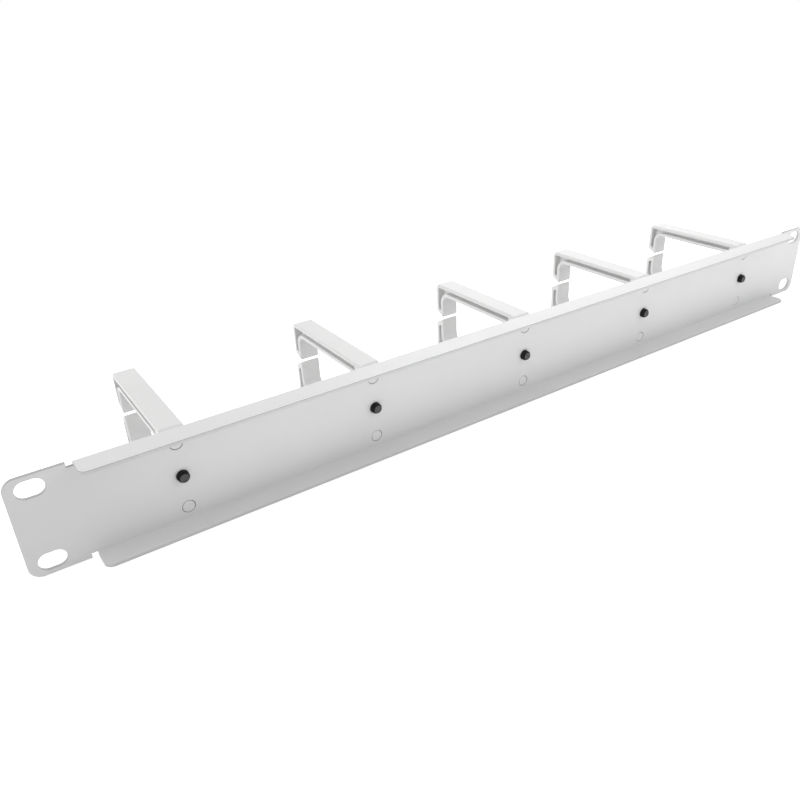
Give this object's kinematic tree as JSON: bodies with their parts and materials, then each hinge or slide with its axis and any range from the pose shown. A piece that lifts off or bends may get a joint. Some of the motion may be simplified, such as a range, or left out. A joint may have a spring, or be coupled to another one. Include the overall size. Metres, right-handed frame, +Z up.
{
  "type": "rack cable management panel",
  "caption": "One-unit rack panel of folded steel sheet with open-mouthed moulded rings along its front that hold cable bundles, and slotted ears for the rack rails.",
  "frame": {"origin": "centre of the four mounting slots, on the face that lies on the rack rails", "axes": "+X along the panel, to the right of someone in front of the rack; +Y into the rack, the way the panel is pushed onto the rails; +Z up; the rings stand out towards -Y"},
  "size_m": [0.483, 0.0783, 0.043],
  "materials": {
    "panel_coat": "light grey powder coat, satin",
    "ring_plastic": "light grey moulded plastic, fine matt",
    "screw_steel": "black coated steel"
  },
  "bodies": {
    "root": {"panel": "panel_coat", "cable_ring_1": "ring_plastic", "cable_ring_2": "ring_plastic", "cable_ring_3": "ring_plastic", "cable_ring_4": "ring_plastic", "cable_ring_5": "ring_plastic", "screw_1": "screw_steel", "screw_2": "screw_steel", "screw_3": "screw_steel", "screw_4": "screw_steel", "screw_5": "screw_steel"}
  },
  "joints": []
}
